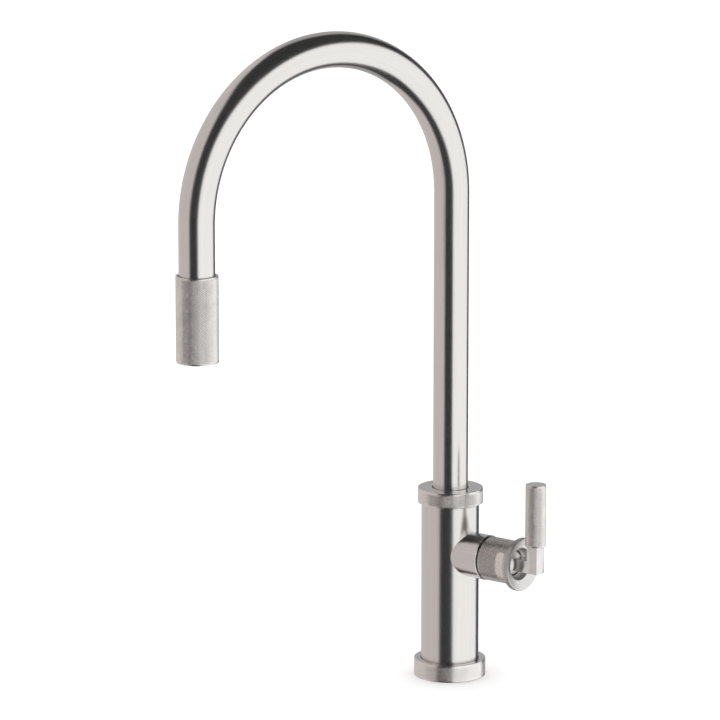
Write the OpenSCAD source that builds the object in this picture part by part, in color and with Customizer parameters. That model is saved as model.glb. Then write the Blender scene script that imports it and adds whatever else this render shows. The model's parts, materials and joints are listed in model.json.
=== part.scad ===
// Pull down kitchen faucet: high arc swivel spout, docking spray head, side lever with a knurled cup.
// Origin at the centre of the base ring's underside, on the worktop.
// +Z is up, -Y is the front towards the user, +X runs along the valve towards the lever.
// All sizes are in millimetres.

/* [Spout] */
// Outside diameter of the spout tube
spout_d = 28; // [24:0.5:34]
// Wall of the spout tube
spout_wall = 1.5; // [1:0.1:2]
// Radius of the arc's centre line
arc_r = 123.8; // [90:0.1:160]
// Height of the arc's centre above the worktop
arc_z = 395.5; // [300:0.5:480]
// Angle of the spout from the front, away from the lever
spout_turn = 13; // [-180:1:180]

/* [Body] */
// Outside diameter of the body
body_d = 46.4; // [38:0.1:60]
// Wall of the body
body_wall = 2.6; // [2:0.1:3.2]
// Height of the valve's axis above the worktop
valve_z = 103; // [80:1:130]
// Height of the body's shoulder above the valve's axis
shoulder_rise = 40; // [38:1:60]
// How far the base ring stands out from the body
base_lip = 5.6; // [3:0.1:8]
// Height of the base ring
base_h = 14; // [9:0.5:20]
// How far the top collar stands out from the body
collar_lip = 3; // [2:0.1:6]
// Height of the top collar
collar_h = 12.3; // [9:0.1:20]

/* [Spray head] */
// Length of the spray head
head_l = 67.5; // [58:0.5:90]
// Wall of the head's open rim, round the end of the spout
head_rim = 1.85; // [1.5:0.05:4]
// Length of straight spout seen between the arc and the head
leg_l = 38; // [34:1:80]
// Outside diameter of the spray hose
hose_d = 12; // [10:0.1:14.4]

/* [Valve and lever] */
// Outside diameter of the branch that carries the valve
branch_d = 36; // [34:0.1:42]
// Distance from the body's axis to the branch's end
branch_x = 39.5; // [34:0.5:48]
// Outside diameter of the knurled hub
hub_d = 35; // [34:0.1:41]
// Length of the hub, with its cup
hub_l = 34; // [32:0.5:40]
// Outside diameter of the cup's flange
flange_d = 42.8; // [40:0.1:52]
// Thickness of the cup's flange
flange_t = 4.8; // [3:0.1:7]
// Side of the square lever bar
bar = 10; // [8:0.1:12]
// Distance from the body's axis to the grip's axis
lever_x = 86; // [84:0.5:105]
// Height of the grip's lower end above the valve's axis
grip_rise = 17.4; // [10:0.1:30]
// Diameter of the knurled grip
grip_d = 16.4; // [13:0.1:20]
// Length of the knurled grip
grip_l = 50.1; // [35:0.1:70]

/* [Worktop fixing] */
// Diameter of the spigot that centres the faucet in its worktop hole
spigot_d = 34.5; // [33:0.1:36]
// Thickness of the worktop that is clamped
deck_t = 30; // [10:1:45]

/* [Hidden] */
$fn = 96;

// fits
fit = 0.05;         // radial clearance of a turning or seated round fit
slack = 0.1;        // face clearance of a moving piece
shadow_gap = 0.4;   // gap round the body in the base ring
rim_gap = 0.65;     // gap round the spout in the collar and in the head's rim
edge = 0.5;         // broken edge on turned rings
cut = 1;            // how far a cutting solid runs past what it cuts

// body
body_r = body_d / 2;
bore_r = body_r - body_wall;
base_r = body_r + base_lip;
floor_t = 3;                    // floor of the base ring, under the body
shoulder_z = valve_z + shoulder_rise;
collar_r = body_r + collar_lip;
collar_top = shoulder_z + collar_h;
neck_r = body_r - body_wall / 2;
collar_plate = 4.6;             // top plate of the collar, over the body's neck
neck_l = collar_h - collar_plate;
spigot_r = spigot_d / 2;
spigot_l = 4;
spigot_step = 1;                // how much wider the spigot is inside the base ring
insert_h = 12;
gasket_t = 1.8;
gasket_groove = [base_r - 5.4, base_r - 2.6];   // inner and outer radius

// hose, with all that lies round it
hose_r = hose_d / 2;
hose_wall = 2.5;
hose_bore = hose_r - hose_wall;
hose_way = hose_r + 1.5;        // clear hole for the hose
hose_grip = 6;                  // length of the hose held in its coupling
pipe_r = 4;
pipe_bore = 3;
web = 0.8;                      // metal between the hose's hole and the pipes' holes
pipe_circle = hose_way + web + pipe_r;
pipe_angles = [-50, 50];        // cold and hot supply
socket_r = 3.5;
socket_l = 9;
pipe_seat = 6;                  // depth of a pipe's end in its seat

// worktop fixing
stud_r = 3;
stud_at = [-(spigot_r - 5.65), 6.8];
stud_top = 8;
stud_tail = 12;                 // thread below the nuts
rubber_t = 3;
clamp_t = 2.5;
clamp_r = base_r - 0.8;
clamp_slot = [-(hose_r + 1), 29];   // where the slot starts, and its width
rubber_r = clamp_r - 0.5;
stud_nut_r = 5.6;
stud_nut_h = 5.5;
under_deck = -deck_t;
clamp_z = under_deck - rubber_t - clamp_t;
stud_nut_z = clamp_z - stud_nut_h;
stud_end = stud_nut_z - stud_tail;
coupling_r = hose_r + 2;
coupling_z = [stud_end - 5, stud_nut_z - 1];
coupling_tail = 6;              // its narrower lower end

// manifold and swivel, one above the other inside the body
manifold_z = [valve_z - 25, valve_z + 16];
bush_h = 8;
bush_top = manifold_z[1] + bush_h;
riser_bottom = bush_top - 5;
sleeve_z = [bush_top + slack, shoulder_z - 5];
spout_r = spout_d / 2;
spout_bore = spout_r - spout_wall;
sleeve_r = spout_r + 2.6;

// valve, along +X from the body's axis
branch_r = branch_d / 2;
branch_wall = 3;
valve_seat_x = hose_way + 1;    // bottom of the manifold's seat for the valve's sleeve
valve_sleeve_r = branch_r - branch_wall - fit;
ring_t = 1;                     // the dark ring between the branch and the hub
ring_inset = 1;
hub_x = branch_x + ring_t;
hub_r = hub_d / 2;
hub_end = hub_x + hub_l;
flange_r = flange_d / 2;
flange_blend = 2;               // fillet from the hub to its flange
pivot_x = hub_end - 16.5;       // centre that the lever turns and lifts about
cup_rim = 3.5;                  // flat face round the cup
cup_r = flange_r - cup_rim;
cup_depth = 10.5;
throat_x = hub_end - cup_depth;
throat_r = 10.5;
cartridge_r = 12.5;
cartridge_x = pivot_x - 22;     // floor of the cartridge's seat
seal_t = 1;
seal_wall = 1.2;
housing_x = cartridge_x + seal_t;
housing_shoulder = pivot_x - 6.5;
housing_end = pivot_x - 0.7;
housing_wall = 0.9;
housing_floor = 2;
tail_r = 11;                    // the housing's narrower end, inside its nut
disc_x = housing_x + housing_floor;
fixed_r = 10;
fixed_t = 4;
moving_t = 3;
moving_x = disc_x + fixed_t;
moving_r = 5.6;
carrier_t = 3.3;
carrier_x = moving_x + moving_t;
port_r = 2.2;
port_circle = 6.6;
port_angles = [0, 120, 240];
rotor_r = 9.4;
rotor_x = carrier_x + carrier_t + 0.3;
rotor_end = pivot_x + 2.5;
rotor_flange_r = 9.9;           // inside the housing's shoulder
rotor_flange_x = housing_shoulder - 1;
pin_r = 1.3;
pin_l = 2 * (rotor_r - 1);
stem = 6;                       // side of the square stem
stem_start = pivot_x - 5.5;
stem_end = pivot_x + 14;
stem_slot = [16, stem + 0.3, 15];
stem_slot_x = pivot_x - 10;
ball_r = 2.4;
ball_neck = 1.4;
ball_x = pivot_x - 9.5;
ball_fit = 0.35;
dome_r = 11.5;
dome_t = 1;
dome_x = pivot_x + 4.6;         // the dome's open edge
dome_way = dome_r + 0.5;        // clear bore round the dome

// lever
bar_start = pivot_x + 7;
grip_z = valve_z + grip_rise;
grip_r = grip_d / 2;
grip_edge = 0.4;
grub_r = 2;
grub_x = stem_end - 2.5;
grub_inset = 0.3;
grip_stud_r = 2.5;
grip_stud_z = [grip_z - 7.4, grip_z + 9.6];

// spray head and its dock, along the leg of the spout
leg_y = -2 * arc_r;
head_top = arc_z - leg_l;
head_bottom = head_top - head_l;
head_edge = 0.8;
tube_end = head_top - 7;
rim_bore = spout_r + rim_gap;
rim_floor = tube_end - 1.5;
head_r = rim_bore + head_rim;
ferrule_r = hose_r + 1;
nut_wall = 0.4;
nut_r = ferrule_r + nut_wall;
head_spigot_wall = 1.9;
head_spigot_r = nut_r + head_spigot_wall;
dock_bore = head_spigot_r + 0.3;
dock_lip = 1.2;
dock_l = 17;
magnet_t = 4;
magnet_gap = 0.3;
magnet_groove_r = head_spigot_r + 0.3;
dock_z = tube_end + magnet_gap + magnet_t;
waterway_r = head_r - 3;
waterway_shoulder = rim_floor - 4;
waterway_top = tube_end - 0.5;
waterway_bore = 5;
spigot_top = tube_end + 11.5;
spigot_taper = [4, 1];          // length, and how much narrower its tip is
washer_t = 2;
nut_top = spigot_top - 1;
nut_bottom = nut_top - 13;
valve_l = 15;
valve_bore = 2.5;
face_z = head_bottom + 0.6;
mouth_r = waterway_r + 0.6;
mouth_top = head_bottom + 9;
aerator_r = 12;
aerator_wall = 1.6;
aerator_top = head_bottom + 13;
aerator_seal_t = 2;
core_wall = 1;                  // wall of the ferrule's core, inside the hose
leg_start = spigot_top + 3;     // where the hose leaves its ferrule's core
ferrule_top = leg_start + 10;
ferrule_bottom = leg_start - 2;

module ring(r_out, r_in, z0, z1) {
    translate([0, 0, z0]) linear_extrude(z1 - z0) difference() {
        circle(r_out);
        circle(r_in);
    }
}

module rod(r, z0, z1) {
    translate([0, 0, z0]) cylinder(r = r, h = z1 - z0);
}

// a rod whose two outer edges are broken
module turned(r, z0, z1, c = edge) {
    rotate_extrude() polygon([[0, z0], [r - c, z0], [r, z0 + c], [r, z1 - c], [r - c, z1], [0, z1]]);
}

// local +Z becomes +X, on the valve's axis
module valve_axis() {
    translate([0, 0, valve_z]) rotate([0, 90, 0]) children();
}

module on_spout() {
    rotate([0, 0, -spout_turn]) children();
}

module on_leg() {
    on_spout() translate([0, leg_y, 0]) children();
}

// a tube up the riser and over the arc, then down the leg to z1
module arched_tube(r_out, r_in, z0, z1) {
    on_spout() {
        ring(r_out, r_in, z0, arc_z);
        translate([0, -arc_r, arc_z]) rotate([90, 0, 90]) rotate_extrude(angle = 180)
            translate([arc_r, 0]) difference() {
                circle(r_out);
                circle(r_in);
            }
        if (z1 < arc_z) translate([0, leg_y, 0]) ring(r_out, r_in, z1, arc_z);
    }
}

module at_pipes(angles) {
    for (a = angles) rotate([0, 0, a]) translate([pipe_circle, 0, 0]) children();
}

module at_ports() {
    for (a = port_angles) rotate([0, 0, a]) translate([port_circle, 0, 0]) children();
}

module at_pivot() {
    translate([pivot_x, 0, valve_z]) children();
}

module at_studs() {
    for (side = [-1, 1]) translate([stud_at[0], side * stud_at[1], 0]) children();
}

module clamp_outline(r) {
    difference() {
        circle(r);
        circle(-clamp_slot[0]);
        translate([clamp_slot[0], -clamp_slot[1] / 2]) square([2 * clamp_r, clamp_slot[1]]);
        for (side = [-1, 1]) translate([stud_at[0], side * stud_at[1]]) circle(stud_r + 2 * slack);
    }
}

// a bar of square section centred on the valve's axis
module square_bar(side, x0, x1) {
    translate([x0, -side / 2, valve_z - side / 2]) cube([x1 - x0, side, side]);
}

// ---- fixed pieces ----

module base_ring() {
    color("silver") difference() {
        turned(base_r, 0, base_h);
        rod(spigot_r + spigot_step + slack, -cut, floor_t + cut);
        rod(body_r + shadow_gap, floor_t, base_h + cut);
        ring(gasket_groove[1], gasket_groove[0], -cut, gasket_t + slack);
    }
}

module base_gasket() {
    color("dimgray") ring(gasket_groove[1] - fit, gasket_groove[0] + fit, 0, gasket_t);
}

module faucet_body() {
    color("silver") difference() {
        union() {
            rod(body_r, floor_t, shoulder_z);
            rod(neck_r, floor_t, shoulder_z + neck_l - slack);
        }
        rod(bore_r, floor_t - cut, collar_top);
        valve_axis() rod(valve_sleeve_r + fit, 0, body_r + cut);
    }
}

// the horizontal branch, brazed to the body along its saddle
module valve_branch() {
    color("silver") difference() {
        valve_axis() turned(branch_r, 0, branch_x);
        rod(body_r, valve_z - branch_r - cut, valve_z + branch_r + cut);
        valve_axis() rod(valve_sleeve_r + fit, 0, branch_x + cut);
    }
}

module base_insert() {
    color("goldenrod") difference() {
        union() {
            rod(bore_r - slack, floor_t, floor_t + insert_h);
            rod(spigot_r + spigot_step, 0, floor_t);
            rod(spigot_r, -spigot_l, 0);
        }
        rod(hose_way, -spigot_l - cut, floor_t + insert_h + cut);
        at_pipes(concat(pipe_angles, [0])) {
            rod(socket_r, -spigot_l - cut, socket_l - spigot_l);
            rod(pipe_bore, 0, floor_t + insert_h);
            rod(pipe_r + fit, floor_t + insert_h - pipe_seat, floor_t + insert_h + cut);
        }
        at_studs() rod(stud_r + fit, -spigot_l - cut, stud_top);
    }
}

module mounting_studs() {
    color("silver") at_studs() rod(stud_r, stud_end, stud_top);
}

module deck_gasket() {
    color("dimgray") translate([0, 0, under_deck - rubber_t]) linear_extrude(rubber_t)
        clamp_outline(rubber_r);
}

module deck_clamp() {
    color("lightgray") translate([0, 0, clamp_z]) linear_extrude(clamp_t) clamp_outline(clamp_r);
}

module stud_nuts() {
    color("goldenrod") at_studs() difference() {
        translate([0, 0, stud_nut_z]) cylinder(r = stud_nut_r, h = stud_nut_h, $fn = 6);
        rod(stud_r + fit, stud_nut_z - cut, clamp_z + cut);
    }
}

module riser_pipe() {
    ring(pipe_r, pipe_bore, floor_t + insert_h - pipe_seat, manifold_z[0] + pipe_seat);
}

module supply_pipes() {
    color("peru") at_pipes(pipe_angles) riser_pipe();
}

module outlet_pipe() {
    color("peru") at_pipes([0]) riser_pipe();
}

module manifold() {
    color("goldenrod") difference() {
        rod(bore_r - slack, manifold_z[0], manifold_z[1]);
        rod(hose_way, manifold_z[0] - cut, manifold_z[1] + cut);
        valve_axis() rod(valve_sleeve_r + fit, valve_seat_x, bore_r + cut);
        at_pipes(concat(pipe_angles, [0])) {
            rod(pipe_r + fit, manifold_z[0] - cut, manifold_z[0] + pipe_seat);
            rod(pipe_bore, manifold_z[0], valve_z);
        }
    }
}

module cartridge_sleeve() {
    color("goldenrod") valve_axis() difference() {
        rod(valve_sleeve_r, valve_seat_x + 0.5, housing_end);
        rod(cartridge_r + slack, cartridge_x, housing_end + cut);
        at_ports() rod(port_r, 0, cartridge_x + cut);
    }
}

module port_seals() {
    color("dimgray") valve_axis() at_ports() ring(port_r + seal_wall, port_r, cartridge_x, housing_x);
}

module cartridge_housing() {
    color("ivory") valve_axis() difference() {
        union() {
            rod(cartridge_r, housing_x, housing_shoulder);
            rod(tail_r, housing_x, housing_end);
        }
        rod(tail_r - housing_wall, disc_x, housing_shoulder - housing_wall);
        rod(rotor_r + slack, disc_x, housing_end + cut);
        at_ports() rod(port_r, housing_x - cut, disc_x + cut);
    }
}

module fixed_disc() {
    color("white") valve_axis() difference() {
        rod(fixed_r, disc_x, moving_x);
        at_ports() rod(port_r, disc_x - cut, moving_x + cut);
    }
}

module cartridge_nut() {
    color("goldenrod") valve_axis()
        ring(cartridge_r + fit, tail_r + 0.15, housing_shoulder + slack, housing_end);
}

module branch_ring() {
    color("dimgray") valve_axis() ring(hub_r - ring_inset, valve_sleeve_r + fit, branch_x, hub_x);
}

// the hub, whose outer end opens into a conical cup
module hub_cup() {
    flange_x = hub_end - flange_t;
    way_x = throat_x - 4;
    color("silver") valve_axis() difference() {
        union() {
            turned(hub_r, hub_x, hub_end - cut);
            turned(flange_r, flange_x, hub_end);
            rotate_extrude() difference() {
                translate([0, flange_x - flange_blend]) square([hub_r + flange_blend, flange_blend + cut]);
                translate([hub_r + flange_blend, flange_x - flange_blend]) circle(flange_blend);
            }
        }
        rod(valve_sleeve_r + fit, hub_x - cut, housing_end + 3 * slack);
        rod(dome_way, hub_x - cut, way_x);
        rotate_extrude() polygon([
            [0, way_x], [dome_way, way_x], [throat_r, throat_x], [cup_r, hub_end], [cup_r, hub_end + cut],
            [0, hub_end + cut]
        ]);
    }
}

module top_collar() {
    color("silver") difference() {
        turned(collar_r, shoulder_z, collar_top);
        rod(neck_r + fit, shoulder_z - cut, shoulder_z + neck_l);
        rod(rim_bore, shoulder_z, collar_top + cut);
    }
}

module lower_bush() {
    color("ivory") ring(bore_r - slack, spout_r + fit, manifold_z[1], bush_top);
}

module upper_bush() {
    color("ivory")
        ring(bore_r - slack, spout_r + fit, sleeve_z[1] + slack, shoulder_z + neck_l - slack);
}

// ---- pieces that swivel with the spout ----

module spout_tube() {
    color("silver") arched_tube(spout_r, spout_bore, riser_bottom, tube_end);
}

module swivel_sleeve() {
    color("goldenrod") ring(sleeve_r, spout_r, sleeve_z[0], sleeve_z[1]);
}

module dock_insert() {
    color("dimgray") on_leg() difference() {
        rod(spout_bore - fit, dock_z, dock_z + dock_l);
        rod(dock_bore, dock_z - cut, dock_z + dock_l + cut);
        translate([0, 0, dock_z]) cylinder(r1 = dock_bore + dock_lip, r2 = dock_bore, h = dock_lip);
    }
}

module dock_magnet() {
    color("gray") on_leg() ring(spout_bore - fit, dock_bore + magnet_gap, tube_end + magnet_gap, dock_z);
}

module spray_hose() {
    color("dimgray") arched_tube(hose_r, hose_bore, coupling_z[1] - hose_grip, arc_z);
}

module hose_coupling() {
    bottom = coupling_z[0];
    top = coupling_z[1];
    color("gainsboro") difference() {
        union() {
            rod(coupling_r, bottom + coupling_tail, top);
            rod(hose_r, bottom, bottom + coupling_tail);
        }
        rod(hose_r + fit, top - hose_grip, top + cut);
        rod(hose_bore, bottom - cut, top);
    }
}

// ---- pieces that come out with the hose ----

module hose_leg() {
    color("dimgray") on_leg() ring(hose_r, hose_bore, leg_start, arc_z);
}

module hose_ferrule() {
    color("silver") on_leg() {
        ring(ferrule_r, hose_r + fit, ferrule_bottom, ferrule_top);
        ring(ferrule_r, hose_bore - core_wall, ferrule_bottom - 1, leg_start - 1);
        ring(hose_bore - fit, hose_bore - core_wall, nut_bottom + 1, ferrule_top);
    }
}

module head_shell() {
    color("silver") on_leg() difference() {
        turned(head_r, head_bottom, head_top, head_edge);
        rod(rim_bore, rim_floor, head_top + cut);
        rod(waterway_r + fit, mouth_top, head_top);
        rod(mouth_r, head_bottom - cut, mouth_top);
    }
}

module head_waterway() {
    color("dimgray") on_leg() difference() {
        union() {
            rod(waterway_r, mouth_top, waterway_shoulder);
            rod(spout_bore, mouth_top, waterway_top);
            rod(head_spigot_r, mouth_top, spigot_top - spigot_taper[0]);
            translate([0, 0, spigot_top - spigot_taper[0]])
                cylinder(r1 = head_spigot_r, r2 = head_spigot_r - spigot_taper[1], h = spigot_taper[0]);
        }
        rod(nut_r + 2 * slack, nut_bottom - washer_t, spigot_top + cut);
        rod(waterway_bore, mouth_top, nut_bottom);
        rod(aerator_r + fit, mouth_top - cut, aerator_top + aerator_seal_t);
        ring(spout_bore + cut, magnet_groove_r, waterway_top - magnet_t - 2 * slack, waterway_top + cut);
    }
}

module head_magnet() {
    color("gray") on_leg()
        ring(spout_bore, magnet_groove_r + slack, waterway_top - magnet_t - slack, waterway_top);
}

module hose_nut() {
    color("goldenrod") on_leg() ring(nut_r, hose_bore + slack, nut_bottom, nut_top);
}

module hose_washer() {
    color("dimgray") on_leg() ring(nut_r, hose_bore - core_wall, nut_bottom - washer_t, nut_bottom);
}

module check_valve() {
    top = nut_bottom - washer_t - 1;
    color("ivory") on_leg() ring(waterway_bore - fit, valve_bore, top - valve_l, top);
}

module face_ring() {
    color("dimgray") on_leg() ring(mouth_r - fit, aerator_r + fit, face_z, mouth_top);
}

module aerator_housing() {
    color("silver") on_leg() ring(aerator_r, aerator_r - aerator_wall, face_z, aerator_top);
}

module aerator_insert() {
    inset = [0.6, 2];
    color("white") on_leg() rod(aerator_r - aerator_wall - fit, face_z + inset[0], aerator_top - inset[1]);
}

module aerator_seal() {
    color("black") on_leg() ring(aerator_r, aerator_r - 2.5, aerator_top, aerator_top + aerator_seal_t);
}

// ---- pieces that turn and lift with the lever ----

module cartridge_rotor() {
    color("white") difference() {
        valve_axis() union() {
            rod(rotor_r, rotor_x, rotor_end);
            rod(rotor_flange_r, rotor_x, rotor_flange_x);
        }
        translate([stem_slot_x, -stem_slot[1] / 2, valve_z - stem_slot[2] / 2]) cube(stem_slot);
        at_pivot() rotate([90, 0, 0]) cylinder(r = pin_r, h = 2 * rotor_r + cut, center = true);
    }
}

module stem_pin() {
    color("silver") at_pivot() rotate([90, 0, 0]) cylinder(r = pin_r, h = pin_l, center = true);
}

module moving_disc() {
    color("white") valve_axis() rod(moving_r, moving_x, carrier_x);
}

module disc_carrier() {
    color("ivory") valve_axis() ring(moving_r, ball_r + ball_fit, carrier_x, carrier_x + carrier_t);
}

module lever_stem() {
    color("silver") difference() {
        union() {
            square_bar(stem, stem_start, stem_end);
            valve_axis() rod(ball_neck, ball_x, stem_start + cut / 2);
            translate([ball_x, 0, valve_z]) sphere(r = ball_r);
        }
        at_pivot() rotate([90, 0, 0]) cylinder(r = pin_r + fit, h = stem + cut, center = true);
    }
}

// the mitred square bar: out along the valve's axis, then up to the grip
module lever_arm() {
    color("silver") difference() {
        union() {
            square_bar(bar, bar_start, lever_x + bar / 2);
            translate([lever_x - bar / 2, -bar / 2, valve_z - bar / 2]) cube([bar, bar, grip_rise + bar / 2]);
        }
        square_bar(stem + slack, bar_start - cut, stem_end);
        translate([grub_x, 0, 0]) rod(grub_r + fit, valve_z - bar, valve_z);
        translate([lever_x, 0, 0]) rod(grip_stud_r + fit, grip_stud_z[0], grip_z + cut);
    }
}

// the ball shaped cover round the bar, centred on the pivot so that it turns inside the cup's throat
module stem_dome() {
    color("silver") difference() {
        at_pivot() sphere(r = dome_r);
        at_pivot() sphere(r = dome_r - dome_t);
        valve_axis() rod(dome_r + cut, pivot_x - dome_r - cut, dome_x);
        square_bar(bar, pivot_x, pivot_x + dome_r + cut);
    }
}

module lever_grub_screw() {
    color("gray") translate([grub_x, 0, 0]) rod(grub_r, valve_z - bar / 2 + grub_inset, valve_z - stem / 2);
}

module grip_stud() {
    color("gray") translate([lever_x, 0, 0]) rod(grip_stud_r, grip_stud_z[0], grip_stud_z[1]);
}

module lever_grip() {
    color("silver") translate([lever_x, 0, 0]) difference() {
        turned(grip_r, grip_z, grip_z + grip_l, grip_edge);
        rod(grip_stud_r + fit, grip_z - cut, grip_stud_z[1]);
    }
}

base_ring();
base_gasket();
faucet_body();
valve_branch();
base_insert();
mounting_studs();
deck_gasket();
deck_clamp();
stud_nuts();
supply_pipes();
outlet_pipe();
manifold();
cartridge_sleeve();
port_seals();
cartridge_housing();
fixed_disc();
cartridge_nut();
branch_ring();
hub_cup();
top_collar();
lower_bush();
upper_bush();
spout_tube();
swivel_sleeve();
dock_insert();
dock_magnet();
spray_hose();
hose_coupling();
hose_leg();
hose_ferrule();
head_shell();
head_waterway();
head_magnet();
hose_nut();
hose_washer();
check_valve();
face_ring();
aerator_housing();
aerator_insert();
aerator_seal();
cartridge_rotor();
stem_pin();
moving_disc();
disc_carrier();
lever_stem();
lever_arm();
stem_dome();
lever_grub_screw();
grip_stud();
lever_grip();
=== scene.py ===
import json
import math

import bmesh
import bpy
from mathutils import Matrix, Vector


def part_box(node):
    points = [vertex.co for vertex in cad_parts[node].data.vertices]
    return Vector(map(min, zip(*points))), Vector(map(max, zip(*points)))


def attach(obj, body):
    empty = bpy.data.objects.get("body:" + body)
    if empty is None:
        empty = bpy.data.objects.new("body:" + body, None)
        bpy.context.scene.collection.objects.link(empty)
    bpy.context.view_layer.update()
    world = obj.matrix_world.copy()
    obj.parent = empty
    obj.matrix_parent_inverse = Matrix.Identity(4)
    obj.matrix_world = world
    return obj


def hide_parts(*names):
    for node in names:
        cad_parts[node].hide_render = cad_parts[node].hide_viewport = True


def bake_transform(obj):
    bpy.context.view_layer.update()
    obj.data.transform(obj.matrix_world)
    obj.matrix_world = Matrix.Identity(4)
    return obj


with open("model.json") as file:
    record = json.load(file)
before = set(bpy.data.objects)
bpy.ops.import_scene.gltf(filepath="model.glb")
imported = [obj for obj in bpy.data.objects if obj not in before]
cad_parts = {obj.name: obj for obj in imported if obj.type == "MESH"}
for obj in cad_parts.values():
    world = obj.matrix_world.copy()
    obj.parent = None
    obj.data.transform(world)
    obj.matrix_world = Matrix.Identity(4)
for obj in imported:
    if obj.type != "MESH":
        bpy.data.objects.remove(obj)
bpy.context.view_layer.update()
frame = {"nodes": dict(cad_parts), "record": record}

mm = 0.001


def middle(node):
    low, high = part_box(node)
    return (low + high) / 2


def halfWidth(node):
    low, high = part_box(node)
    return (high.x - low.x) / 2


def halfDepth(node):
    low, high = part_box(node)
    return (high.y - low.y) / 2


# camera

shot = {
    "azimuth": 39.5,  # degrees round from the front
    "elevation": 12.17,
    "distance": 3.6,
    "lens": 225,
    "aim": (-0.0638, -0.0366, 0.2565),  # between the riser and the spray head
    "clipEnd": 50,
}


def setCamera():
    turn = math.radians(shot["azimuth"])
    rise = math.radians(shot["elevation"])
    back = Vector((math.sin(turn) * math.cos(rise), -math.cos(turn) * math.cos(rise), math.sin(rise)))
    bpy.ops.object.camera_add(location=Vector(shot["aim"]) + back * shot["distance"])
    camera = bpy.context.object
    camera.rotation_euler = back.to_track_quat("Z", "Y").to_euler()
    camera.data.lens = shot["lens"]
    camera.data.clip_end = shot["clipEnd"]
    bpy.context.scene.camera = camera


setCamera()
print("camera set")


# places shared by several pieces, all from the frame

sleeveStep = 2.6 * mm  # the swivel sleeve's outside, from the tube's
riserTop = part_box("spout_tube")[1].z
tubeRadius = halfWidth("swivel_sleeve") - sleeveStep
bodyRadius = halfWidth("faucet_body")
legPlace = middle("head_shell")
legAway = Vector((legPlace.x, legPlace.y, 0))
legDirection = legAway.normalized()
arcRadius = legAway.length / 2
arcHeight = riserTop - arcRadius - tubeRadius
valveHeight = middle("hub_cup").z
print("arc radius", round(arcRadius / mm, 1), "mm at", round(arcHeight / mm, 1), "mm")


# small modelling helpers

near = 0.01 * mm
roundShare = 0.3  # how far in from a sharp corner the middle of a rounded one lies


def deselectAll():
    if bpy.context.object and bpy.context.object.mode != "OBJECT":
        bpy.ops.object.mode_set(mode="OBJECT")
    bpy.ops.object.select_all(action="DESELECT")


def selectOnly(piece):
    deselectAll()
    piece.select_set(True)
    bpy.context.view_layer.objects.active = piece


def openEdit(piece):
    selectOnly(piece)
    bpy.ops.object.mode_set(mode="EDIT")
    bpy.ops.mesh.select_all(action="DESELECT")


def pick(piece, kind, wanted):  # kind is VERT, EDGE or FACE
    bpy.ops.mesh.select_mode(type=kind)
    bpy.ops.mesh.select_all(action="DESELECT")
    shape = bmesh.from_edit_mesh(piece.data)
    parts = {"VERT": shape.verts, "EDGE": shape.edges, "FACE": shape.faces}[kind]
    for part in parts:
        if wanted(part):
            part.select_set(True)
    shape.select_flush_mode()
    bmesh.update_edit_mesh(piece.data)


def radiusOf(point):
    return math.hypot(point.x, point.y)


def extrudeUp(rise):
    bpy.ops.mesh.extrude_region_move(TRANSFORM_OT_translate={"value": (0, 0, rise)})


def resizeRound(share):  # towards or away from the upright line through the origin
    bpy.ops.transform.resize(value=(share, share, 1), center_override=(0, 0, 0))


def pickLoop(piece, radius, height):
    pick(piece, "VERT", lambda v: abs(v.co.z - height) < near and abs(radiusOf(v.co) - radius) < near)


def carryLoop(radius, height, points):  # the picked loop is pulled from point to point of a profile
    for toRadius, toHeight in points:
        extrudeUp(toHeight - height)
        resizeRound(toRadius / radius)
        radius, height = toRadius, toHeight


def carryProfile(piece, radius, low, high, above, below, capped=False):  # a band's two ends become a turning
    openEdit(piece)
    for height, points in ((high, above), (low, below)):
        pickLoop(piece, radius, height)
        carryLoop(radius, height, points)
        if capped:
            bpy.ops.mesh.edge_face_add()


def rimCorner(radius, end, edge):  # where a rim's side meets its end; the edge is minus at the bottom
    inset = roundShare * edge
    return [(radius, end - edge), (radius - abs(inset), end - inset), (radius - abs(edge), end)]


def applyPlace(piece, location=(0, 0, 0), rotation=(0, 0, 0)):
    selectOnly(piece)
    piece.location = location
    piece.rotation_euler = rotation
    bpy.ops.object.transform_apply(location=True, rotation=True, scale=True)


def applyModifier(piece, kind, **settings):
    selectOnly(piece)
    modifier = piece.modifiers.new(kind.lower(), kind)
    for name, value in settings.items():
        setattr(modifier, name, value)
    bpy.ops.object.modifier_apply(modifier=modifier.name)


def closeShell(piece):
    openEdit(piece)
    bpy.ops.mesh.select_all(action="SELECT")
    bpy.ops.mesh.remove_doubles(threshold=near / 10)
    bpy.ops.mesh.normals_make_consistent(inside=False)
    bpy.ops.object.mode_set(mode="OBJECT")


def copyTo(piece, places):  # each copy has its own mesh, and all are joined
    copies = []
    for place in places:
        copy = piece.copy()
        copy.data = piece.data.copy()
        bpy.context.collection.objects.link(copy)
        applyPlace(copy, place)
        copies.append(copy)
    bpy.data.objects.remove(piece)
    deselectAll()
    for copy in copies:
        copy.select_set(True)
    bpy.context.view_layer.objects.active = copies[0]
    bpy.ops.object.join()
    return copies[0]


def finishPiece(piece, name, body, slot, nodes, angle=22, material=None):
    selectOnly(piece)
    bpy.ops.object.shade_smooth_by_angle(angle=math.radians(angle))
    piece.name = name
    piece.data.name = name
    piece.data.materials.clear()
    piece.data.materials.append(material or looks[slot])
    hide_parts(*nodes)
    if body:
        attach(piece, body)
    print("made", name, "with", len(piece.data.polygons), "faces")


# materials

def addNode(tree, kind, **settings):
    node = tree.nodes.new(kind)
    for name, value in settings.items():
        if name in node.inputs:
            node.inputs[name].default_value = value
        else:
            setattr(node, name, value)
    return node


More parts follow.
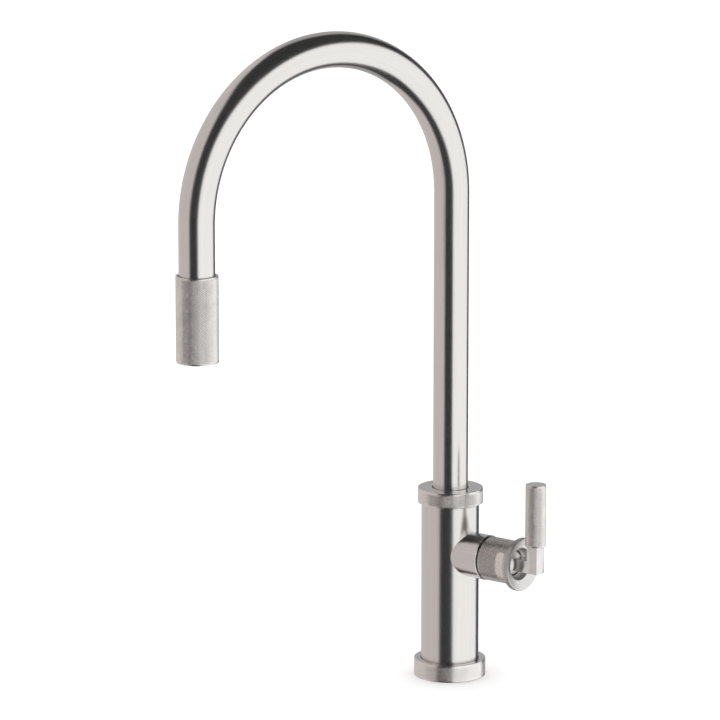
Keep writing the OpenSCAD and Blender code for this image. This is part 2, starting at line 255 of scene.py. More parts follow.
def startMaterial(name, colour, metallic, roughness):
    material = bpy.data.materials.new(name)
    material.use_nodes = True
    shader = material.node_tree.nodes["Principled BSDF"]
    shader.inputs["Base Color"].default_value = (*colour, 1)
    shader.inputs["Metallic"].default_value = metallic
    shader.inputs["Roughness"].default_value = roughness
    return material, material.node_tree, shader


def objectSpace(tree):
    return addNode(tree, "ShaderNodeTexCoord").outputs["Object"]


def ownSpace(tree, name):
    return addNode(tree, "ShaderNodeAttribute", attribute_name=name).outputs["Vector"]


def axesOf(tree, vector):
    split = addNode(tree, "ShaderNodeSeparateXYZ")
    tree.links.new(vector, split.inputs["Vector"])
    return split.outputs


noise = {"detail": 3, "roughness": 0.6}


def stretched(tree, space, scale, place=(0, 0, 0)):  # noise, with a scale along each axis
    mapping = addNode(tree, "ShaderNodeMapping", Scale=scale, Location=place)
    texture = addNode(
        tree, "ShaderNodeTexNoise", Scale=1, Detail=noise["detail"], Roughness=noise["roughness"])
    tree.links.new(space, mapping.inputs["Vector"])
    tree.links.new(mapping.outputs["Vector"], texture.inputs["Vector"])
    return texture.outputs["Fac"]


def evenly(tree, space, scale, place=(0, 0, 0)):
    return stretched(tree, space, (scale, scale, scale), place)


def spread(tree, value, low, high, fromLow=0.3, fromHigh=0.7):
    ramp = addNode(tree, "ShaderNodeMapRange", **{
        "From Min": fromLow, "From Max": fromHigh, "To Min": low, "To Max": high})
    tree.links.new(value, ramp.inputs["Value"])
    return ramp.outputs["Result"]


def added(tree, a, b, operation="ADD"):
    node = addNode(tree, "ShaderNodeMath", operation=operation)
    for socket, value in zip(node.inputs, (a, b)):
        if isinstance(value, (int, float)):
            socket.default_value = value
        else:
            tree.links.new(value, socket)
    return node.outputs[0]


def computed(tree, value, operation):
    node = addNode(tree, "ShaderNodeMath", operation=operation)
    tree.links.new(value, node.inputs[0])
    return node.outputs[0]


def mixed(tree, value, first, second):  # first may be a colour or another mix
    mix = addNode(tree, "ShaderNodeMix", data_type="RGBA")
    below, above = [socket for socket in mix.inputs if socket.type == "RGBA"]
    if isinstance(first, tuple):
        below.default_value = (*first, 1)
    else:
        tree.links.new(first, below)
    above.default_value = (*second, 1)
    tree.links.new(value, mix.inputs["Factor"])
    return [socket for socket in mix.outputs if socket.type == "RGBA"][0]


def tinted(tree, value, dark, light, shader):
    tree.links.new(mixed(tree, value, dark, light), shader.inputs["Base Color"])


def raised(tree, value, shader, strength, depth):
    bump = addNode(tree, "ShaderNodeBump", Strength=strength, Distance=depth)
    tree.links.new(value, bump.inputs["Height"])
    tree.links.new(bump.outputs["Normal"], shader.inputs["Normal"])


steel = {
    "dark": (0.67, 0.653, 0.64),
    "light": (0.70, 0.684, 0.671),
    "smooth": 0.17,
    "rough": 0.25,
    "hairAcross": 5200,  # hairlines to a metre, over the width and along the length
    "hairAlong": 55,
    "bandAcross": 700,
    "bandAlong": 9,
    "hairShare": 0.75,  # of the roughness that the hairlines give, and the bands the rest
    "hairDepth": 0.012 * mm,
    "hairStrength": 0.5,
}


def brushedSteel(name, lengthwise=2, space=None):
    material, tree, shader = startMaterial(name, steel["light"], 1, steel["smooth"])
    where = ownSpace(tree, space) if space else objectSpace(tree)
    hair = [steel["hairAcross"]] * 3
    band = [steel["bandAcross"]] * 3
    hair[lengthwise] = steel["hairAlong"]
    band[lengthwise] = steel["bandAlong"]
    fine = stretched(tree, where, hair)
    wide = stretched(tree, where, band, place=(3, 1, 7))
    fineShare = added(tree, fine, steel["hairShare"], "MULTIPLY")
    both = added(tree, fineShare, added(tree, wide, 1 - steel["hairShare"], "MULTIPLY"))
    tree.links.new(spread(tree, both, steel["smooth"], steel["rough"]), shader.inputs["Roughness"])
    tinted(tree, spread(tree, wide, 0, 1), steel["dark"], steel["light"], shader)
    raised(tree, fine, shader, steel["hairStrength"], steel["hairDepth"])
    return material


knurlSteel = {
    "dark": (0.72, 0.697, 0.68),
    "light": (0.79, 0.768, 0.75),
    "smooth": 0.2,
    "rough": 0.3,
    "grain": 900,  # mottling to a metre
    "cloud": 100,
    "grainDepth": 0.01 * mm,
    "grainStrength": 0.3,
}


def knurledSteel(name):
    material, tree, shader = startMaterial(name, knurlSteel["light"], 1, knurlSteel["smooth"])
    where = objectSpace(tree)
    grain = evenly(tree, where, knurlSteel["grain"])
    cloud = evenly(tree, where, knurlSteel["cloud"], (5, 2, 1))
    rough = spread(tree, grain, knurlSteel["smooth"], knurlSteel["rough"])
    tree.links.new(rough, shader.inputs["Roughness"])
    tinted(tree, spread(tree, cloud, 0, 1), knurlSteel["dark"], knurlSteel["light"], shader)
    raised(tree, grain, shader, knurlSteel["grainStrength"], knurlSteel["grainDepth"])
    return material


metal = {
    "grain": 400,  # marks to a metre
    "cloudSize": 6,  # times a mark's
    "finer": 6,  # times as many marks along the axis
    "markDepth": 0.01 * mm,
    "markStrength": 0.25,
}


def plainMetal(name, dark, light, smooth, rough, grain=metal["grain"]):
    material, tree, shader = startMaterial(name, light, 1, smooth)
    where = objectSpace(tree)
    cloud = evenly(tree, where, grain / metal["cloudSize"], (2, 4, 1))
    turned = stretched(tree, where, (grain, grain, grain * metal["finer"]))
    tree.links.new(spread(tree, turned, smooth, rough), shader.inputs["Roughness"])
    tinted(tree, spread(tree, cloud, 0, 1), dark, light, shader)
    raised(tree, turned, shader, metal["markStrength"], metal["markDepth"])
    return material


plastic = {
    "grain": 1500,  # pores to a metre
    "cloudSize": 40,  # times a pore's
    "smoother": 0.06,  # roughness, to each side of its own
    "rougher": 0.08,
    "poreDepth": 0.02 * mm,
    "poreStrength": 0.2,
}


def mouldedPlastic(name, dark, light, rough, grain=plastic["grain"], coat=0.0):
    material, tree, shader = startMaterial(name, light, 0, rough)
    shader.inputs["Coat Weight"].default_value = coat
    where = objectSpace(tree)
    pores = evenly(tree, where, grain)
    cloud = evenly(tree, where, grain / plastic["cloudSize"], (1, 6, 2))
    varied = spread(tree, pores, rough - plastic["smoother"], rough + plastic["rougher"])
    tree.links.new(varied, shader.inputs["Roughness"])
    tinted(tree, spread(tree, cloud, 0, 1), dark, light, shader)
    raised(tree, pores, shader, plastic["poreStrength"], plastic["poreDepth"])
    return material


braid = {
    "dark": (0.028, 0.028, 0.03),
    "light": (0.2, 0.2, 0.21),
    "strands": 24,  # crossings round the hose
    "climb": 2.2 * mm,  # height that a strand climbs between crossings
    "depth": 0.25 * mm,
    "strength": 0.7,
    "rough": 0.5,
    "sheen": 0.3,
    "grooveShadeFrom": -0.2,  # of the strands' wave, where the painted shade in the grooves between strands is darkest
}


def braidedHose(name):  # a pulled leg is drawn out, so the strands go by their place there
    material, tree, shader = startMaterial(name, braid["light"], 0, braid["rough"])
    legStart = arcHeight + math.pi * arcRadius
    own = axesOf(tree, ownSpace(tree, "alongTube"))
    inLeg = added(tree, own["Z"], legStart, "GREATER_THAN")
    drawn = added(tree, legStart + arcHeight, axesOf(tree, objectSpace(tree))["Z"], "SUBTRACT")
    moved = added(tree, added(tree, drawn, own["Z"], "SUBTRACT"), inLeg, "MULTIPLY")
    climb = added(tree, added(tree, own["Z"], moved), 1 / braid["climb"], "MULTIPLY")
    around = added(tree, own["Y"], own["X"], "ARCTAN2")
    turns = added(tree, around, braid["strands"] / (2 * math.pi), "MULTIPLY")
    waves = []
    for direction in ("ADD", "SUBTRACT"):
        slant = added(tree, added(tree, turns, climb, direction), 2 * math.pi, "MULTIPLY")
        waves.append(computed(tree, slant, "SINE"))
    weave = added(tree, *waves, "MAXIMUM")
    # the braid's colour darkens into the grooves between strands: painted shade, added to the bump
    tinted(tree, spread(tree, weave, 0, 1, braid["grooveShadeFrom"], 1), braid["dark"], braid["light"], shader)
    raised(tree, weave, shader, braid["strength"], braid["depth"])
    shader.inputs["Sheen Weight"].default_value = braid["sheen"]
    return material


looks = {
    "brushed_steel": brushedSteel("brushedSteel"),
    "knurled_steel": knurledSteel("knurledSteel"),
    "bright_steel": plainMetal("satinSteel", (0.68, 0.66, 0.645), (0.73, 0.71, 0.7), 0.16, 0.24, 500),
    "plain_steel": plainMetal("zincSteel", (0.5, 0.5, 0.51), (0.6, 0.6, 0.61), 0.28, 0.42),
    "brass": plainMetal("brass", (0.66, 0.46, 0.2), (0.78, 0.58, 0.28), 0.2, 0.34),
    "copper": plainMetal("copper", (0.68, 0.36, 0.22), (0.8, 0.45, 0.3), 0.22, 0.36),
    "magnet": plainMetal("nickelMagnet", (0.3, 0.3, 0.31), (0.42, 0.42, 0.42), 0.2, 0.3),
    "rubber": mouldedPlastic("blackRubber", (0.012, 0.012, 0.012), (0.03, 0.03, 0.03), 0.6),
    "white_plastic": mouldedPlastic("whiteAcetal", (0.74, 0.73, 0.7), (0.82, 0.81, 0.78), 0.38),
    "grey_plastic": mouldedPlastic("darkPlastic", (0.04, 0.04, 0.045), (0.075, 0.075, 0.08), 0.4),
    "ceramic": mouldedPlastic("lappedCeramic", (0.8, 0.79, 0.76), (0.88, 0.87, 0.84), 0.16, 3000, 0.4),
    "clear_plastic": mouldedPlastic("aeratorPlastic", (0.6, 0.6, 0.59), (0.76, 0.76, 0.74), 0.3),
    "hose_braid": braidedHose("hoseBraid"),
}
branchSteel = brushedSteel("branchSteel", lengthwise=0)
turnedSteel = plainMetal("turnedSteel", (0.7, 0.685, 0.672), (0.75, 0.74, 0.73), 0.34, 0.42, 600)
spoutSteel = brushedSteel("spoutSteel", space="alongTube")


def dressNodes():
    for part in frame["record"]["subparts"]:
        piece = frame["nodes"][part["node"]]
        piece.data.materials.clear()
        piece.data.materials.append(looks[part["material_slot"]])
    frame["nodes"]["valve_branch"].data.materials[0] = branchSteel
    frame["nodes"]["stem_dome"].data.materials[0] = turnedSteel


dressNodes()
print("materials set on", len(frame["nodes"]), "nodes")


# diamond knurl, shared by the rings, the head, the hub and the grip

knurl = {
    "width": 2.2 * mm,  # one diamond
    "height": 1.9 * mm,
    "point": 0.46 * mm,  # height that each diamond would have if it weren't cut flat
    "flat": 55,  # percent of the way down that it is cut
    "fade": 0.25 * mm,  # groove ends beside the knurl
    "land": 0.9 * mm,  # smooth band beside the knurl
}


def columnsRound(radius):
    return 2 * round(2 * math.pi * radius / knurl["width"])


def addBand(radius, low, high, columns):
    deselectAll()
    bpy.ops.mesh.primitive_cylinder_add(
        vertices=columns, radius=radius, depth=high - low, end_fill_type="NOTHING",
        location=(0, 0, (low + high) / 2))
    band = bpy.context.object
    applyPlace(band, band.location)
    return band


def cutKnurl(piece, radius, low, high, columns, flat=knurl["flat"], smoothAt=lambda angle, height: False):
    rows = round(2 * (high - low) / knurl["height"])
    rise = (high - low) / rows
    step = 2 * math.pi / columns
    groove = knurl["point"] * (1 - flat / 100)
    point = knurl["point"] - groove

    def inBand(v):
        return low - near < v.co.z < high + near and abs(radiusOf(v.co) - radius) < knurl["point"]

    def isMark(v, odd, margin):
        angle = math.atan2(v.co.y, v.co.x)
        column = round((angle - math.pi / 2) / step)  # the primitive's first corner lies on +Y
        row = round((v.co.z - low) / rise)
        clear = not any(smoothAt(angle + a * margin * step, v.co.z + b * margin * rise)
                        for a, b in ((0, 0), (1, 0), (-1, 0), (0, 1), (0, -1)))
        return inBand(v) and margin <= row <= rows - margin and (column + row) % 2 == odd and clear

    pick(piece, "EDGE", lambda e: all(inBand(v) for v in e.verts)
         and abs(e.verts[0].co.z - e.verts[1].co.z) > rise / 2)
    bpy.ops.mesh.subdivide(number_cuts=rows - 1)
    pick(piece, "VERT", lambda v: isMark(v, 0, 0))
    resizeRound(1 - groove / radius)
    pick(piece, "VERT", lambda v: isMark(v, 1, 1))
    resizeRound(1 + point / radius)
    pick(piece, "FACE", lambda f: all(inBand(v) for v in f.verts))
    bpy.ops.mesh.quads_convert_to_tris(quad_method="SHORTEST_DIAGONAL")
    pick(piece, "VERT", lambda v: isMark(v, 1, 1))
    bpy.ops.mesh.bevel(offset_type="PERCENT", offset_pct=flat, segments=1, affect="VERTICES")


def knurledTurning(radius, low, high, above, below, flat=knurl["flat"]):  # above and below end at one point
    columns = columnsRound(radius)
    piece = addBand(radius, low, high, columns)
    above = [(radius, high + knurl["fade"])] + above
    below = [(radius, low - knurl["fade"])] + below
    carryProfile(piece, radius, low, high, above, below)
    cutKnurl(piece, radius, low, high, columns, flat)
    closeShell(piece)
    return piece


# base ring

baseRing = {
    "edge": 0.5 * mm,
    "bodyGap": 0.4 * mm,
    "floor": 3 * mm,
    "grooveDepth": 1.9 * mm,
    "bottomLand": 0.4 * mm,
    "hole": 18.35 * mm,  # radius
    "gasketFit": 0.05 * mm,
    "gasketWidth": 2.8 * mm,
    "flat": 82,  # its knurl is cut flatter
}


def makeBaseRing():
    low, high = (corner.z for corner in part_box("base_ring"))
    radius = halfWidth("base_ring")
    edge = baseRing["edge"]
    well = bodyRadius + baseRing["bodyGap"]
    hole = baseRing["hole"]
    groove = halfWidth("base_gasket") + baseRing["gasketFit"]
    grooveIn = groove - baseRing["gasketWidth"]
    above = rimCorner(radius, high, edge) + [
        (well + edge / 2, high), (well, high - edge / 2), (well, baseRing["floor"]),
        (hole, baseRing["floor"]), (hole, low),
    ]
    below = [
        (radius, low + edge), (radius - edge, low), (groove, low), (groove, baseRing["grooveDepth"]),
        (grooveIn, baseRing["grooveDepth"]), (grooveIn, low), (hole, low),
    ]
    knurlLow = low + edge + baseRing["bottomLand"]
    knurlHigh = high - edge - knurl["land"]
    piece = knurledTurning(radius, knurlLow, knurlHigh, above, below, baseRing["flat"])
    finishPiece(piece, "baseRing", "mixer", "knurled_steel", ["base_ring"])


# top collar

topCollar = {
    "edge": 0.5 * mm,
    "rimGap": 0.65 * mm,
    "plate": 4.6 * mm,
    "neckStep": 1.3 * mm,  # the body's neck, inside its own radius
    "neckFit": 0.05 * mm,
    "lowerLand": 0.4 * mm,
}


def makeTopCollar():
    low, high = (corner.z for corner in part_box("top_collar"))
    radius = halfWidth("top_collar")
    edge = topCollar["edge"]
    bore = tubeRadius + topCollar["rimGap"]
    neck = bodyRadius - topCollar["neckStep"] + topCollar["neckFit"]
    ledge = high - topCollar["plate"]
    above = rimCorner(radius, high, edge) + [
        (bore + edge / 2, high), (bore, high - edge / 2), (bore, ledge), (neck, ledge), (neck, low),
    ]
    below = [(radius, low + edge), (radius - edge, low), (neck, low)]
    knurlLow = low + edge + topCollar["lowerLand"]
    knurlHigh = high - edge - knurl["land"]
    piece = knurledTurning(radius, knurlLow, knurlHigh, above, below)
    finishPiece(piece, "topCollar", "mixer", "knurled_steel", ["top_collar"])


# spray head

sprayHead = {
    "edge": 0.4 * mm,
    "foot": 0.8 * mm,
    "rimGap": 0.65 * mm,
    "rimDepth": 8.5 * mm,
    "shellWall": 2.95 * mm,
    "mouthDepth": 9 * mm,
    "mouthWall": 2.4 * mm,
    "land": 0.5 * mm,
}


def makeHeadShell():
    low, high = (corner.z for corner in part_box("head_shell"))
    radius = halfWidth("head_shell")
    edge, foot = sprayHead["edge"], sprayHead["foot"]
    bore = tubeRadius + sprayHead["rimGap"]
    ledge = high - sprayHead["rimDepth"]
    inner = radius - sprayHead["shellWall"]
    mouth = radius - sprayHead["mouthWall"]
    step = low + sprayHead["mouthDepth"]
    above = rimCorner(radius, high, edge) + [
        (bore + edge / 2, high), (bore, high - edge / 2), (bore, ledge), (inner, ledge), (inner, step),
        (mouth, step), (mouth, low + edge / 2), (mouth + edge / 2, low),
    ]
    below = rimCorner(radius, low, -foot) + [(mouth + edge / 2, low)]
    knurlLow = low + foot + sprayHead["land"] / 2
    knurlHigh = high - edge - sprayHead["land"]
    piece = knurledTurning(radius, knurlLow, knurlHigh, above, below)
    applyPlace(piece, (legPlace.x, legPlace.y, 0))
    finishPiece(piece, "headShell", "spray_head", "knurled_steel", ["head_shell"])


# spray face: a honeycomb in the aerator

honeycomb = {
    "across": 1.9 * mm,  # pitch of the cells
    "slit": 0.02 * mm,  # between cells, so that each is closed
    "wall": 0.2 * mm,
    "pocket": 1.4 * mm,
    "rings": 6,
}


def makeCell():
    deselectAll()
    low, high = (corner.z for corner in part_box("aerator_insert"))
    bpy.ops.mesh.primitive_cylinder_add(
        vertices=6, radius=(honeycomb["across"] - honeycomb["slit"]) / math.sqrt(3), depth=high - low,
        location=(0, 0, (low + high) / 2))
    cell = bpy.context.object
    applyPlace(cell, cell.location)
    openEdit(cell)
    pick(cell, "FACE", lambda f: f.normal.z < -0.5)
    bpy.ops.mesh.inset(thickness=honeycomb["wall"])
    extrudeUp(honeycomb["pocket"])
    bpy.ops.object.mode_set(mode="OBJECT")
    return cell


def makeHoneycomb():
    across, rings = honeycomb["across"], honeycomb["rings"]
    reach = halfWidth("aerator_insert") - across / math.sqrt(3)
    places = []
    for row in range(-rings, rings + 1):
        for column in range(-rings, rings + 1):
            x = (column + row / 2) * across
            y = row * across * math.sqrt(3) / 2
            if math.hypot(x, y) < reach:
                places.append((legPlace.x + x, legPlace.y + y, 0))
    comb = copyTo(makeCell(), places)
    finishPiece(comb, "aeratorHoneycomb", "spray_head", "clear_plastic", ["aerator_insert"])


# hub with its flange and cup

hub = {
    "edge": 0.5 * mm,
    "fillet": 2 * mm,
    "filletSteps": 6,
    "flange": 4.8 * mm,
    "outsideRing": 1 * mm,  # the hub's side, from the dark ring behind it
    "cup": [  # radius, depth
        (20.3 * mm, 0), (13.2 * mm, 3.3 * mm), (10.5 * mm, 9.5 * mm), (10.5 * mm, 10.5 * mm),
    ],
    "domeWay": 12 * mm,
    "domeWayDepth": 14.5 * mm,
    "seat": 15 * mm,
    "seatDepth": 17.1 * mm,
    "columns": 112,
    "landAngle": 38,  # the smooth land on the front, each side of -Y
    "landAlong": (19.4 * mm, 26 * mm),  # from the hub's inner end
}


def makeHub():
    low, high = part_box("hub_cup")
    start, end = low.x, high.x
    radius = halfDepth("branch_ring") + hub["outsideRing"]
    flange = halfDepth("hub_cup")
    edge = hub["edge"]
    flangeStart = end - hub["flange"]
    knurlStart = start + edge + knurl["fade"]
    knurlEnd = flangeStart - hub["fillet"] - knurl["fade"]
    wayAt = end - hub["domeWayDepth"]
    seatAt = start + hub["seatDepth"]
    above = []
    for k in range(hub["filletSteps"] + 1):
        t = math.pi / 2 * k / hub["filletSteps"]
        above.append((radius + hub["fillet"] * (1 - math.cos(t)),
                      flangeStart - hub["fillet"] * (1 - math.sin(t))))
    above += [(flange - edge, flangeStart), (flange, flangeStart + edge)]
    above += [(flange, end - edge), (flange - edge, end)]
    above += [(cupRadius, end - depth) for cupRadius, depth in hub["cup"]]
    above += [
        (hub["domeWay"], wayAt), (hub["domeWay"], seatAt), (hub["seat"], seatAt), (hub["seat"], start),
    ]
    below = [(radius, start + edge), (radius - edge, start), (hub["seat"], start)]
    landLow, landHigh = (start + along for along in hub["landAlong"])
    halfLand = math.radians(hub["landAngle"])

    def onLand(angle, height):
        fromFront = abs((angle + math.pi / 2 + math.pi) % (2 * math.pi) - math.pi)
        return landLow < height < landHigh and fromFront < halfLand

    piece = addBand(radius, knurlStart, knurlEnd, hub["columns"])
    carryProfile(piece, radius, knurlStart, knurlEnd, above, below)
    cutKnurl(piece, radius, knurlStart, knurlEnd, hub["columns"], smoothAt=onLand)
    cutKnurl(piece, flange, flangeStart + edge, end - edge, hub["columns"])
    closeShell(piece)
    applyPlace(piece, (0, 0, valveHeight), (0, math.pi / 2, 0))
    finishPiece(piece, "hubCup", "mixer", "knurled_steel", ["hub_cup"])
    piece.data.materials.append(turnedSteel)  # for the cup
    openEdit(piece)
    pick(piece, "FACE", lambda f: f.normal.x > 0.2 and f.calc_center_median().x > wayAt)
    piece.active_material_index = 1
    bpy.ops.object.material_slot_assign()
    bpy.ops.object.mode_set(mode="OBJECT")


# lever: bar and grip

leverBar = {
    "side": 10 * mm,
    "edge": 0.35 * mm,
    "socket": 6.1 * mm,
    "socketDepth": 7 * mm,
    "grubHole": 2.05 * mm,  # radius
}


def cutAway(piece, cutter):
    applyModifier(piece, "BOOLEAN", operation="DIFFERENCE", object=cutter, solver="EXACT")
    bpy.data.objects.remove(cutter)


def makeLeverBar():
    low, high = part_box("lever_arm")
    side = leverBar["side"]
    deselectAll()
    bpy.ops.mesh.primitive_cube_add(
        size=1, location=((low.x + high.x) / 2, 0, low.z + side / 2), scale=(high.x - low.x, side, side))
    piece = bpy.context.object
    applyPlace(piece, piece.location)
    openEdit(piece)
    bpy.ops.mesh.select_all(action="SELECT")
    bpy.ops.mesh.bisect(plane_co=(high.x - side, 0, 0), plane_no=(1, 0, 0))
    pick(piece, "FACE", lambda f: f.normal.z > 0.5 and f.calc_center_median().x > high.x - side)
    extrudeUp(high.z - low.z - side)
    bpy.ops.object.mode_set(mode="OBJECT")
    applyModifier(piece, "BEVEL", width=leverBar["edge"], segments=2, limit_method="ANGLE")
    reach, socket = leverBar["socketDepth"], leverBar["socket"]
    deselectAll()
    bpy.ops.mesh.primitive_cube_add(
        size=1, location=(low.x + reach / 2 - side / 2, 0, valveHeight), scale=(reach + side, socket, socket))
    cutAway(piece, bpy.context.object)
    grubPlace = (middle("lever_grub_screw").x, 0, low.z)
    deselectAll()
    bpy.ops.mesh.primitive_cylinder_add(
        vertices=32, radius=leverBar["grubHole"], depth=side, location=grubPlace)
    cutAway(piece, bpy.context.object)
    finishPiece(piece, "leverBar", "lever", "bright_steel", ["lever_arm"], 35)


grip = {
    "edge": 0.4 * mm,
    "land": 0.5 * mm,
    "studHole": 2.55 * mm,  # radius
    "turnMarks": 5,  # faint turned steps across the flat top
    "turnDepth": 0.01 * mm,
}


def makeGrip():
    low, high = (corner.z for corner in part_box("lever_grip"))
    radius = halfWidth("lever_grip")
    place = middle("lever_grip")
    edge = grip["edge"]
    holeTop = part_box("grip_stud")[1].z
    above = rimCorner(radius, high, edge)
    for k in range(1, grip["turnMarks"]):
        above.append((radius * (1 - k / grip["turnMarks"]), high - grip["turnDepth"] * (k % 2)))
    below = [(radius, low + edge), (radius - edge, low), (grip["studHole"], low), (grip["studHole"], holeTop)]
    knurlLow = low + edge + knurl["fade"]
    knurlHigh = high - edge - grip["land"]
    columns = columnsRound(radius)
    piece = addBand(radius, knurlLow, knurlHigh, columns)
    above = [(radius, knurlHigh + knurl["fade"])] + above
    carryProfile(piece, radius, knurlLow, knurlHigh, above, below, capped=True)
    cutKnurl(piece, radius, knurlLow, knurlHigh, columns)
    closeShell(piece)
    applyPlace(piece, (place.x, place.y, 0))
    finishPiece(piece, "leverGrip", "lever", "knurled_steel", ["lever_grip"])


# spout tube and the hose inside it, both swept along the same line

spout = {
    "around": 128,
    "arcSteps": 120,
    "wall": 1.5 * mm,
    "riserRings": 8,
    "legRings": 4,
    "aboveBush": 3 * mm,  # the tube's foot, above the lower bush's
    "inHead": 7 * mm,
}
hose = {"around": 32, "arcSteps": 48, "wall": 2.5 * mm, "riserRings": 8, "legRings": 90}  # the leg stretches


def raiseLoop(rise, count):
    for _ in range(count):
        extrudeUp(rise / count)


def markAlongTube(tube):  # each point's place if the tube were drawn out straight
    values = tube.data.attributes.new("alongTube", "FLOAT_VECTOR", "POINT")
    sideways = Vector((0, 0, 1)).cross(legDirection)
    centre = legAway / 2 + Vector((0, 0, arcHeight))
    for vertex in tube.data.vertices:
        away = vertex.co - centre
        flat = away.dot(legDirection)
        if away.z > 0:
            angle = math.atan2(away.z, -flat)
            outward = math.hypot(away.z, flat) - arcRadius
            along = arcHeight + angle * arcRadius
        elif flat < 0:
            outward = -flat - arcRadius
            along = vertex.co.z
        else:
            outward = flat - arcRadius
            along = arcHeight + math.pi * arcRadius - away.z
        values.data[vertex.index].vector = (outward, away.dot(sideways), along)


def sweepTube(radius, bottom, end, settings):  # up the riser, round the arc and down the leg
    deselectAll()
    bpy.ops.mesh.primitive_circle_add(vertices=settings["around"], radius=radius, location=(0, 0, bottom))
    tube = bpy.context.object
    applyPlace(tube, tube.location)
    openEdit(tube)
    bpy.ops.mesh.select_all(action="SELECT")
    raiseLoop(arcHeight - bottom, settings["riserRings"])
    axis = legDirection.cross(Vector((0, 0, 1)))
    centre = (*(legAway / 2).xy, arcHeight)
    bpy.ops.mesh.spin(steps=settings["arcSteps"], angle=math.pi, center=centre, axis=axis)
    raiseLoop(end - arcHeight, settings["legRings"])
    closeShell(tube)
    applyModifier(tube, "SOLIDIFY", thickness=settings["wall"], offset=-1, use_rim=True)
    markAlongTube(tube)
    return tube


def makeSpout():
    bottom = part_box("lower_bush")[0].z + spout["aboveBush"]
    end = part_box("head_shell")[1].z - spout["inHead"]
    tube = sweepTube(tubeRadius, bottom, end, spout)
    finishPiece(tube, "spoutTube", "spout", "brushed_steel", ["spout_tube"], 40, spoutSteel)


def makeHose():
    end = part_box("hose_leg")[0].z
    tube = sweepTube(halfWidth("hose_leg"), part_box("spray_hose")[0].z, end, hose)
    finishPiece(tube, "sprayHose", None, "hose_braid", ["spray_hose", "hose_leg"], 40)
    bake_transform(tube)


# fixing under the worktop

studs = {
    "pitch": 1 * mm,  # of ridges that stand for the thread
    "threadDepth": 0.45 * mm,
    "around": 24,
    "tip": 1 * mm,
    "tipShare": 0.8,
}
studNuts = {
    "edge": 0.7 * mm,
    "cut": 0.05 * mm,  # taken off the hexagon's corners
    "fit": 0.05 * mm,
    "around": 48,
}


def studPlaces():
    low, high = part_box("mounting_studs")
    radius = halfWidth("mounting_studs")
    return radius, [(low.x + radius, y, 0) for y in (low.y + radius, high.y - radius)]


def makeStuds():
    low, high = (corner.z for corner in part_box("mounting_studs"))
    radius, places = studPlaces()
    tip = studs["tip"]
    length = high - low - 2 * tip
    rows = round(2 * length / studs["pitch"])
    rise = length / rows
    deselectAll()
    bpy.ops.mesh.primitive_cylinder_add(
        vertices=studs["around"], radius=radius, depth=length, location=(0, 0, (low + high) / 2))
    stud = bpy.context.object
    applyPlace(stud, stud.location)
    openEdit(stud)
    pick(stud, "EDGE", lambda e: abs(e.verts[0].co.z - e.verts[1].co.z) > length / 2)
    bpy.ops.mesh.subdivide(number_cuts=rows - 1)
    pick(stud, "VERT", lambda v: round((v.co.z - low - tip) / rise) % 2 == 1)
    resizeRound(1 - studs["threadDepth"] / radius)
    for side in (-1, 1):
        pick(stud, "FACE", lambda f: f.normal.z * side > 0.9 and len(f.verts) > 4)
        extrudeUp(side * tip)
        resizeRound(studs["tipShare"])
    bpy.ops.object.mode_set(mode="OBJECT")
    both = copyTo(stud, places)
    finishPiece(both, "mountingStuds", "mixer", "plain_steel", ["mounting_studs"], 30)


def makeStudNuts():
    low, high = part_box("stud_nuts")
    radius, places = studPlaces()
    corner = halfWidth("stud_nuts")
    height = high.z - low.z
    centre = Vector((0, 0, (low.z + high.z) / 2))
    deselectAll()
    bpy.ops.mesh.primitive_cylinder_add(vertices=6, radius=corner, depth=height, location=centre)
    nut = bpy.context.object
    applyPlace(nut, centre, (0, 0, math.pi / 2))
    deselectAll()
    bpy.ops.mesh.primitive_cylinder_add(
        vertices=studNuts["around"], radius=corner - studNuts["cut"], depth=height, location=centre)
    turned = bpy.context.object
    applyModifier(turned, "BEVEL", width=studNuts["edge"], segments=2, limit_method="ANGLE")
    applyModifier(nut, "BOOLEAN", operation="INTERSECT", object=turned, solver="EXACT")
    bpy.data.objects.remove(turned)
    deselectAll()
    bpy.ops.mesh.primitive_cylinder_add(
        vertices=studNuts["around"], radius=radius + studNuts["fit"], depth=2 * height, location=centre)
    cutAway(nut, bpy.context.object)
    both = copyTo(nut, places)
    finishPiece(both, "studNuts", "mixer", "brass", ["stud_nuts"], 30)


makeBaseRing()
makeTopCollar()
makeHeadShell()
makeHoneycomb()
makeHub()
makeLeverBar()
makeGrip()
makeSpout()
makeHose()
makeStuds()
makeStudNuts()


# floor and studio light

studio = {
    "floorSize": 12,
    "floorDrop": 0.05 * mm,  # under the base ring
    "floor": (0.95, 0.95, 0.95),
    "floorSmooth": 0.75,
    "floorRough": 0.85,
    "floorCloud": 2,
    "soft": 1.32,  # even light from all round
    "panel": {"round": 68, "up": -18, "halfRound": 58, "halfUp": 50, "light": (1.2, 1.2, 1.19)},
    "card": {"round": -106, "up": -5, "halfRound": 61, "halfUp": 66, "light": (0.70, 0.652, 0.634)},
    "back": {"round": 180, "up": -5, "halfRound": 24, "halfUp": 55, "light": (0.46, 0.46, 0.46)},
    "room": (0.043, 0.044, 0.044),
    "corner": 4,  # power that squares a panel's outline
    "glowFull": 0.8,  # share of the way out to a panel's edge where it starts to fade, and where it is gone
    "glowGone": 1.3,
}


def makeFloor():
    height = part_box("base_ring")[0].z - studio["floorDrop"]
    deselectAll()
    bpy.ops.mesh.primitive_plane_add(size=studio["floorSize"], location=(0, 0, height))
    floor = bpy.context.object
    floor.name = "floor"
    material, tree, shader = startMaterial("paleFloor", studio["floor"], 0, studio["floorRough"])
    cloud = evenly(tree, objectSpace(tree), studio["floorCloud"])
    varied = spread(tree, cloud, studio["floorSmooth"], studio["floorRough"])
    tree.links.new(varied, shader.inputs["Roughness"])
    floor.data.materials.append(material)
    floor.visible_glossy = False


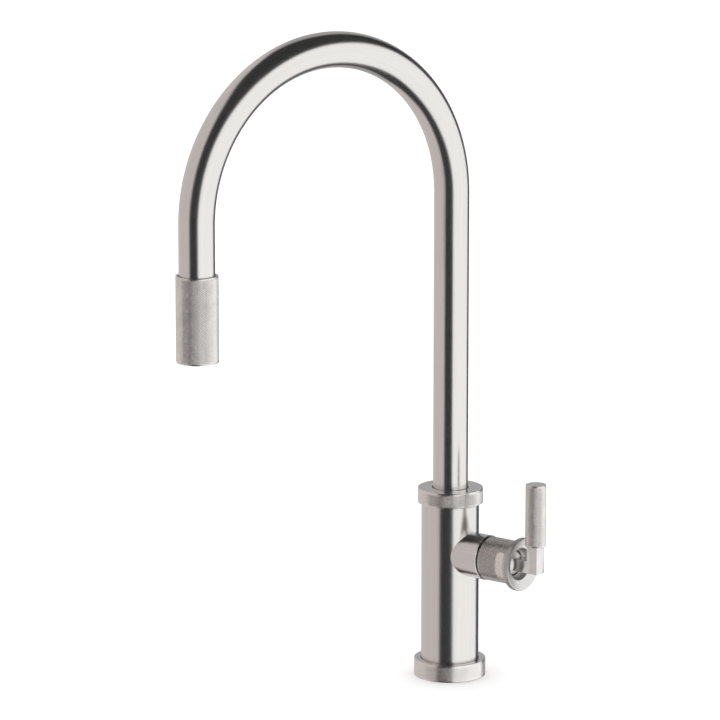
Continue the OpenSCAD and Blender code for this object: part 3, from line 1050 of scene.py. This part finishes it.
def panelGlow(tree, around, up, panel):  # 1 inside a soft cornered panel, 0 outside
    past = added(tree, added(tree, around, panel["round"] - 180, "SUBTRACT"), 360, "FLOORED_MODULO")
    across = added(tree, added(tree, past, 180, "SUBTRACT"), 1 / panel["halfRound"], "MULTIPLY")
    upright = added(tree, added(tree, up, panel["up"], "SUBTRACT"), 1 / panel["halfUp"], "MULTIPLY")
    parts = [added(tree, way, studio["corner"], "POWER") for way in (across, upright)]
    return spread(tree, added(tree, *parts), 1, 0, studio["glowFull"], studio["glowGone"])


def lightWorld():
    world = bpy.data.worlds.new("studio")
    bpy.context.scene.world = world
    world.use_nodes = True
    world.cycles.sampling_method = "NONE"
    tree = world.node_tree
    tree.nodes.clear()
    where = addNode(tree, "ShaderNodeTexCoord").outputs["Generated"]
    turn = addNode(tree, "ShaderNodeMapping", Rotation=(0, 0, math.radians(90 - shot["azimuth"])))
    tree.links.new(where, turn.inputs["Vector"])
    sky = axesOf(tree, turn.outputs["Vector"])
    angle = added(tree, sky["Y"], sky["X"], "ARCTAN2")
    around = added(tree, angle, 180 / math.pi, "MULTIPLY")
    up = added(tree, computed(tree, sky["Z"], "ARCSINE"), 180 / math.pi, "MULTIPLY")
    colour = studio["room"]
    for name in ("back", "card", "panel"):
        colour = mixed(tree, panelGlow(tree, around, up, studio[name]), colour, studio[name]["light"])
    mirrored = addNode(tree, "ShaderNodeBackground")
    tree.links.new(colour, mirrored.inputs["Color"])
    even = addNode(tree, "ShaderNodeBackground", Strength=studio["soft"])
    even.inputs["Color"].default_value = (1, 1, 1, 1)
    rays = addNode(tree, "ShaderNodeLightPath")
    choose = addNode(tree, "ShaderNodeMixShader")
    tree.links.new(rays.outputs["Is Glossy Ray"], choose.inputs["Fac"])
    tree.links.new(even.outputs[0], choose.inputs[1])
    tree.links.new(mirrored.outputs[0], choose.inputs[2])
    out = addNode(tree, "ShaderNodeOutputWorld")
    tree.links.new(choose.outputs[0], out.inputs["Surface"])
    bpy.context.scene.view_settings.view_transform = "Standard"


makeFloor()
lightWorld()
print("studio lit")
